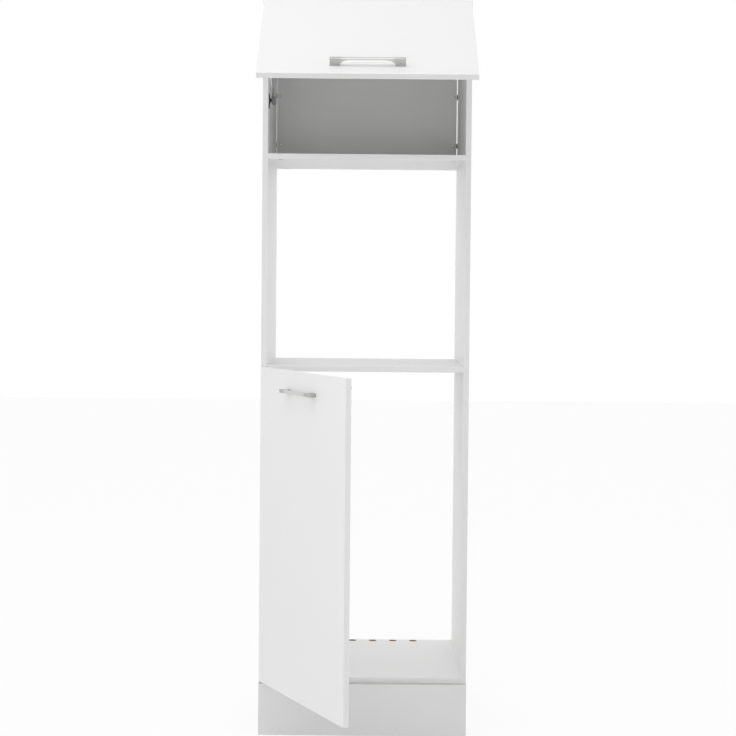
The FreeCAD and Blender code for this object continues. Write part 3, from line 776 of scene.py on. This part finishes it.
for front, z, rest in (("door", DOOR_HANDLE_Z, door_rest), ("flap", FLAP_HANDLE_Z, flap_rest)):
    screw_x = (-HANDLE_SCREW_X, HANDLE_SCREW_X)
    seats = carried([(np.array((x, FRONT_BACK_Y, z)) * MM, INWARD) for x in screw_x], rest)
    pan_heads(front + "_handle_screws", seats, HANDLE_SCREW, zinc, front)


# ------------------------------------------------------------------ bumpers
# Clear, slightly cloudy silicone buttons stuck inside the fronts near their free corners, so
# that they close softly against the carcass edges.
SILICONE_DARK = (0.62, 0.63, 0.62, 1.0)
SILICONE_PALE = (0.74, 0.75, 0.74, 1.0)
BUMPER_PROFILE = [(0, 0), (4.5, 0), (4.3, 0.9), (3.6, 1.6), (2.2, 2.05), (0, 2.15)]
BUMPER_X = 292.0
DOOR_BUMPER_Z = (179.0, 1039.0)
FLAP_BUMPER_Z = 1689.0


def silicone():
    """Milky soft plastic with a waxy gloss."""
    finish = Finish("silicone", Roughness=0.35, Specular_IOR_Level=0.5)
    cloud = finish.noise(finish.place(), 300.0)
    finish.feed("Base Color", finish.mix(cloud, SILICONE_DARK, SILICONE_PALE))
    finish.bump(cloud, 0.15, 0.0001)
    return finish.material


bumper_finish = silicone()
bumper_profile = np.array(BUMPER_PROFILE) * MM
door_spots = [(BUMPER_X, FRONT_BACK_Y, z) for z in DOOR_BUMPER_Z]
flap_spots = [(x, FRONT_BACK_Y, FLAP_BUMPER_Z) for x in (-BUMPER_X, BUMPER_X)]
for front, spots, rest in (("door", door_spots, door_rest), ("flap", flap_spots, flap_rest)):
    seats = carried([(np.array(spot) * MM, INWARD) for spot in spots], rest)
    grids = [turned(bumper_profile, point, normal, columns=28) for point, normal in seats]
    surface(front + "_bumpers", grids, bumper_finish, front)


# ------------------------------------------------------------------ flap stay
# A brake stay on the left side: a three-legged plastic base screwed to the side panel, a
# ribbed brake housing that turns on it, and a steel rod from the fork on the flap. The pin in
# the fork is as far from the flap's hinge line as the hub is.
HOUSING_GREY = (0.24, 0.24, 0.245, 1.0)
BASE_BLACK = (0.014, 0.014, 0.015, 1.0)
RUBBER_BLACK = (0.018, 0.018, 0.018, 1.0)
ROD_GREY = (0.66, 0.67, 0.68, 1.0)
LONG_IN_Y_AND_Z = (1.0, 0.06, 0.06)
STAY_HUB = np.array((-284.0, 62.5, 1834.0)) * MM
LUG_ANGLES = (0.0, 160.0, 222.0)
LUG_REACH = 34.0
LUG_FACE = 2.5
BRAKE_FACE = 20.2
FORK_X = -270.5 * MM
FORK_PLATE_Y = 10.0 * MM
FORK_SCREW_STEP = 13.0 * MM
PIN_INWARD = 22.5 * MM
LUG_SCREW = (3.8, 1.8)
BRAKE_SCREW = (4.0, 1.2)
FORK_SCREW = (3.8, 1.8)

coat(moulded_plastic("housing_plastic", HOUSING_GREY, roughness=0.45), "stay_housing")
coat(moulded_plastic("base_plastic", BASE_BLACK, roughness=0.40), "stay_base")
coat(moulded_plastic("stop_rubber", RUBBER_BLACK, roughness=0.70), "stay_rod_stop")
rod_steel = plated_steel("rod_steel", ROD_GREY, roughness=0.26, streak=LONG_IN_Y_AND_Z)
coat(rod_steel, "stay_rod")
coat(zinc, "stay_flap_bracket")
coat(nickel, "stay_flap_pin")

base_seats = []
for turn in np.radians(LUG_ANGLES):
    lug = np.array((LUG_FACE, LUG_REACH * math.cos(turn), LUG_REACH * math.sin(turn)))
    base_seats.append((STAY_HUB + lug * MM, ACROSS))
pan_heads("stay_base_screws", base_seats, LUG_SCREW, zinc, "carcass")
brake_seat = (STAY_HUB + np.array((BRAKE_FACE, 0, 0)) * MM, ACROSS)
pan_heads("stay_brake_screw", [brake_seat], BRAKE_SCREW, zinc, "brake")

hub_reach = np.linalg.norm((STAY_HUB - FLAP_PIVOT)[1:])
fork_z = FLAP_PIVOT[2] - math.sqrt(hub_reach**2 - PIN_INWARD**2)
fork_steps = (-FORK_SCREW_STEP, FORK_SCREW_STEP)
fork_seats = [((FORK_X, FORK_PLATE_Y, fork_z + step), INWARD) for step in fork_steps]
fork_seats = carried(fork_seats, flap_rest)
pan_heads("stay_fork_screws", fork_seats, FORK_SCREW, zinc, "flap")


# ------------------------------------------------------------------ studio
# A white floor that runs into a white backdrop, an even pale sky, a broad soft lamp overhead
# and a weaker one low in front. The camera stands far in front of the cabinet at chest height
# and looks almost level.
CAMERA_AT = (-1.3 * MM, -5219.1 * MM, 1332.9 * MM)
PITCH, YAW, ROLL = (math.radians(a) for a in (-1.6988, -0.0968, -0.5111))
FOCAL_PIXELS = 1817.6
IMAGE_PIXELS = 736.0
AXIS_ABOVE_CENTRE = 40.0
SENSOR_WIDTH = 36.0
FARTHEST_SEEN = 60.0

WHITE_LIGHT = (1.0, 1.0, 1.0, 1.0)
FLOOR_REACH = 14.0
FLOOR_GREY = (0.80, 0.80, 0.80, 1.0)
FLOOR_WHITE = (0.95, 0.95, 0.95, 1.0)
# Share of the floor's own shading that the eye doesn't see.
SHADOW_HIDDEN = 0.88
# Strength of the light from each side of the sky.
SKY = {"left": 1.35, "right": 1.4, "front": 0.2, "back": 1.55, "top": 0.42}

# Each lamp's size in metres, power in watts, place and target.
LAMPS = (
    ("overhead_softbox", (3.0, 2.4), 33.0, (-0.6, -1.4, 4.2), (0.0, 0.0, 1.4)),
    ("low_front_softbox", (1.6, 0.8), 10.0, (-0.3, -3.2, 1.2), (0.0, 0.3, 1.9)),
)


def seen_rays(shading):
    """1 for rays that come from the eye, or from it by a reflection or through glass."""
    rays = shading.node("ShaderNodeLightPath").socket.node.outputs
    eye, glossy, clear = (
        Socket(shading, rays[ray])
        for ray in ("Is Camera Ray", "Is Glossy Ray", "Is Transmission Ray")
    )
    return eye.maths("MAXIMUM", eye.maths("MAXIMUM", eye, glossy), clear)


floor_mesh = bpy.data.meshes.new("floor")
floor_corners = [
    (x * FLOOR_REACH, y * FLOOR_REACH, 0) for x, y in ((-1, -1), (1, -1), (1, 1), (-1, 1))
]
floor_mesh.from_pydata(floor_corners, [], [(0, 1, 2, 3)])
floor = bpy.data.objects.new("floor", floor_mesh)
bpy.context.collection.objects.link(floor)
paper = Finish("studio_floor", Roughness=0.9)
seen = seen_rays(paper)
paper.feed("Base Color", paper.mix(seen, FLOOR_GREY, FLOOR_WHITE))
glow = paper.node("ShaderNodeEmission", {}, {"Color": WHITE_LIGHT})
shader = Socket(paper, paper.shader.outputs[0])
shown = paper.node("ShaderNodeMixShader", {}, {0: seen * SHADOW_HIDDEN, 1: shader, 2: glow})
paper.tree.links.new(shown.socket, paper.tree.nodes["Material Output"].inputs[0])
floor_mesh.materials.append(paper.material)

world = bpy.data.worlds.new("studio")
bpy.context.scene.world = world
world.use_nodes = True
sky = Shading(world.node_tree)
across, inward, up = sky.split(sky.place("Generated"))
level = 0.0
for axis, sign, side in (
    (across, -1, "left"),
    (across, 1, "right"),
    (inward, -1, "front"),
    (inward, 1, "back"),
    (up, 1, "top"),
):
    towards = axis.maths("MAXIMUM", axis * sign, 0.0)
    level = towards * towards * SKY[side] + level
lit = sky.node("ShaderNodeBackground", {}, {"Color": WHITE_LIGHT, "Strength": level})
plain = sky.node("ShaderNodeBackground", {}, {"Color": WHITE_LIGHT})
shown = sky.node("ShaderNodeMixShader", {}, {0: seen_rays(sky), 1: lit, 2: plain})
sky.tree.links.new(shown.socket, sky.tree.nodes["World Output"].inputs[0])

for name, size, watts, place, target in LAMPS:
    lamp_data = bpy.data.lights.new(name, "AREA")
    lamp_data.shape = "RECTANGLE"
    lamp_data.size, lamp_data.size_y = size
    lamp_data.energy = watts
    lamp = bpy.data.objects.new(name, lamp_data)
    lamp.location = place
    lamp.rotation_euler = (Vector(place) - Vector(target)).to_track_quat("Z", "Y").to_euler()
    lamp.visible_camera = False
    bpy.context.collection.objects.link(lamp)

camera_data = bpy.data.cameras.new("camera")
camera_data.sensor_width = SENSOR_WIDTH
camera_data.lens = SENSOR_WIDTH * FOCAL_PIXELS / IMAGE_PIXELS
camera_data.shift_y = -AXIS_ABOVE_CENTRE / IMAGE_PIXELS
camera_data.clip_end = FARTHEST_SEEN
camera = bpy.data.objects.new("camera", camera_data)
aim = Matrix.Translation(CAMERA_AT)
for angle, axis in ((YAW, "Z"), (PITCH, "X"), (ROLL, "Y"), (math.pi / 2, "X")):
    aim = aim @ Matrix.Rotation(angle, 4, axis)
camera.matrix_world = aim
bpy.context.collection.objects.link(camera)
bpy.context.scene.camera = camera
bpy.context.scene.view_settings.view_transform = "Standard"
